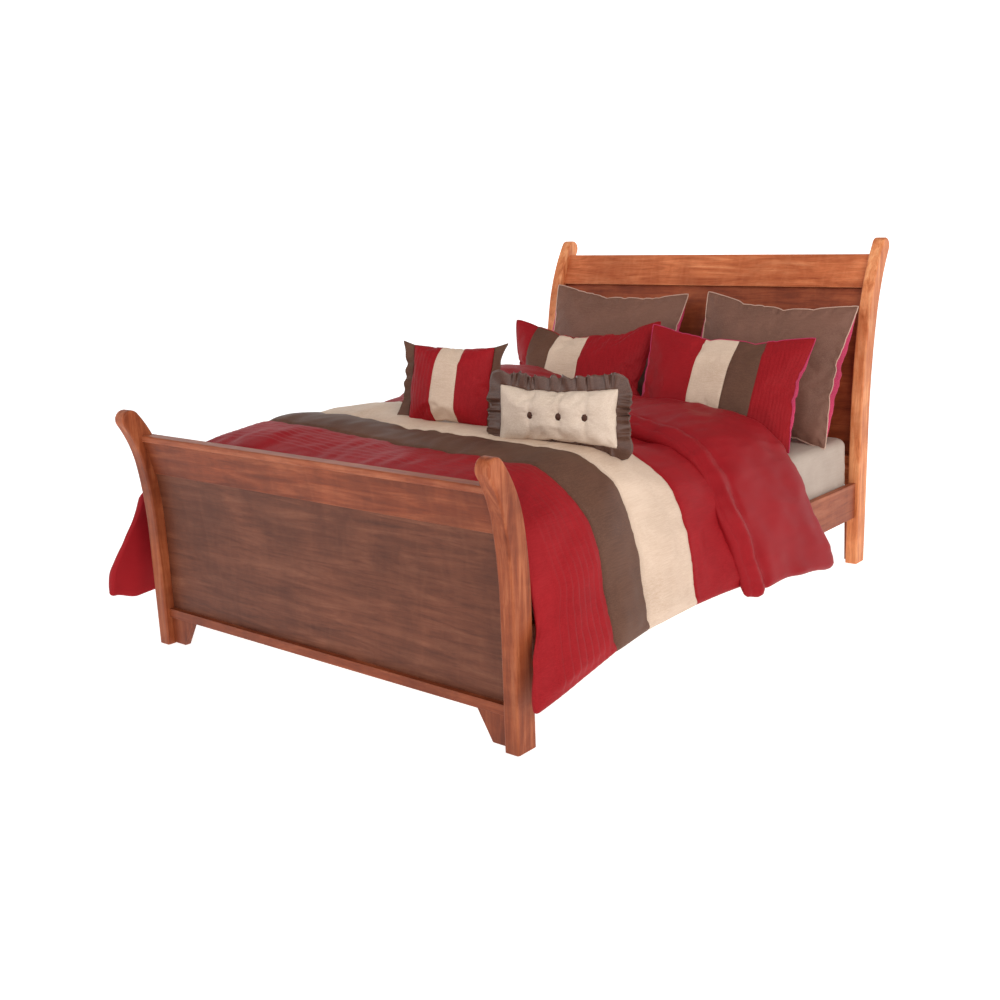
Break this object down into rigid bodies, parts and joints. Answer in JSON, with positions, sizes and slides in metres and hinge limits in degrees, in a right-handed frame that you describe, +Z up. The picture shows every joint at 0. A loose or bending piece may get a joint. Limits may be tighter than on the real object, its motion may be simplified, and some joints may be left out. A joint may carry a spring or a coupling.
{
  "type": "sleigh bed",
  "caption": "Queen sleigh bed in cherry-stained wood with a curved headboard and footboard, dressed with a mattress, a banded comforter, shams and small cushions.",
  "frame": {"origin": "on the floor under the middle of the bed's overall length and width", "axes": "+X to the right seen from the foot, +Y from foot to head, +Z up"},
  "size_m": [1.92, 2.4918, 1.322],
  "materials": {
    "cherry_wood": "satin lacquer over reddish cherry-stained maple",
    "panel_veneer": "satin lacquer over stained veneer",
    "pale_wood": "planed, unfinished",
    "zinc_steel": "zinc plated",
    "nylon": "moulded, matte",
    "glide_plastic": "moulded, matte",
    "mattress_ticking": "woven ticking",
    "cream_sheet": "smooth cotton",
    "red_satin": "satin weave, quilted",
    "brown_satin": "satin weave",
    "cream_satin": "satin weave",
    "taupe_satin": "satin weave, gathered",
    "pink_satin": "satin weave"
  },
  "bodies": {
    "bed_frame": {"centre_beam": "pale_wood", "centre_leg_1": "pale_wood", "centre_leg_2": "pale_wood", "centre_leg_3": "pale_wood", "floor_pads": "nylon", "foot_bottom_rail": "cherry_wood", "foot_cap_rail": "cherry_wood", "foot_gusset_left": "cherry_wood", "foot_gusset_right": "cherry_wood", "foot_panel": "panel_veneer", "foot_post_left": "cherry_wood", "foot_post_right": "cherry_wood", "foot_top_rail": "cherry_wood", "frame_dowels": "pale_wood", "head_bottom_rail": "cherry_wood", "head_gusset_left": "cherry_wood", "head_gusset_right": "cherry_wood", "head_panel": "panel_veneer", "head_post_left": "cherry_wood", "head_post_right": "cherry_wood", "head_top_rail": "cherry_wood", "hook_plates": "zinc_steel", "ledger_left": "pale_wood", "ledger_right": "pale_wood", "ledger_screws": "zinc_steel", "leg_bolts": "zinc_steel", "leg_inserts": "zinc_steel", "plate_screws": "zinc_steel", "side_rail_left": "cherry_wood", "side_rail_right": "cherry_wood", "slat_01": "pale_wood", "slat_02": "pale_wood", "slat_03": "pale_wood", "slat_04": "pale_wood", "slat_05": "pale_wood", "slat_06": "pale_wood", "slat_07": "pale_wood", "slat_08": "pale_wood", "slat_09": "pale_wood", "slat_10": "pale_wood", "slat_11": "pale_wood", "slat_12": "pale_wood", "slat_screws": "zinc_steel", "slot_plates": "zinc_steel"},
    "glide_1": {"levelling_glide_1": "glide_plastic"},
    "glide_2": {"levelling_glide_2": "glide_plastic"},
    "glide_3": {"levelling_glide_3": "glide_plastic"},
    "mattress_body": {"mattress": "mattress_ticking", "fitted_sheet": "cream_sheet"},
    "comforter_body": {"comforter": "red_satin"},
    "euro_sham_left_body": {"euro_sham_left": "taupe_satin"},
    "euro_sham_right_body": {"euro_sham_right": "taupe_satin"},
    "standard_sham_left_body": {"standard_sham_left": "red_satin"},
    "standard_sham_right_body": {"standard_sham_right": "red_satin"},
    "banded_cushion_body": {"banded_cushion": "cream_satin", "banded_cushion_flanges": "brown_satin"},
    "oblong_cushion_body": {"oblong_cushion": "cream_satin", "oblong_ruffle": "brown_satin", "oblong_buttons": "brown_satin"}
  },
  "joints": [
    {"name": "glide_1_height", "type": "slide", "parent": "bed_frame", "child": "glide_1", "axis": [0, 0, 1], "range_m": [0, 0.01]},
    {"name": "glide_2_height", "type": "slide", "parent": "bed_frame", "child": "glide_2", "axis": [0, 0, 1], "range_m": [0, 0.01]},
    {"name": "glide_3_height", "type": "slide", "parent": "bed_frame", "child": "glide_3", "axis": [0, 0, 1], "range_m": [0, 0.01]},
    {"name": "mattress_lift", "type": "slide", "parent": "bed_frame", "child": "mattress_body", "axis": [0, 0, 1], "range_m": [0, 0.6]},
    {"name": "comforter_lift", "type": "slide", "parent": "mattress_body", "child": "comforter_body", "axis": [0, 0, 1], "range_m": [0, 0.35]},
    {"name": "euro_sham_left_lift", "type": "slide", "parent": "mattress_body", "child": "euro_sham_left_body", "axis": [0, 0.1736, 0.9848], "range_m": [0, 0.25]},
    {"name": "euro_sham_right_lift", "type": "slide", "parent": "mattress_body", "child": "euro_sham_right_body", "axis": [0, 0.1736, 0.9848], "range_m": [0, 0.25]},
    {"name": "standard_sham_left_lift", "type": "slide", "parent": "mattress_body", "child": "standard_sham_left_body", "axis": [0, 0, 1], "range_m": [0, 0.3]},
    {"name": "standard_sham_right_lift", "type": "slide", "parent": "mattress_body", "child": "standard_sham_right_body", "axis": [0, 0, 1], "range_m": [0, 0.3]},
    {"name": "banded_cushion_lift", "type": "slide", "parent": "comforter_body", "child": "banded_cushion_body", "axis": [0, 0, 1], "range_m": [0, 0.3]},
    {"name": "oblong_cushion_lift", "type": "slide", "parent": "comforter_body", "child": "oblong_cushion_body", "axis": [0, 0, 1], "range_m": [0, 0.3]}
  ]
}
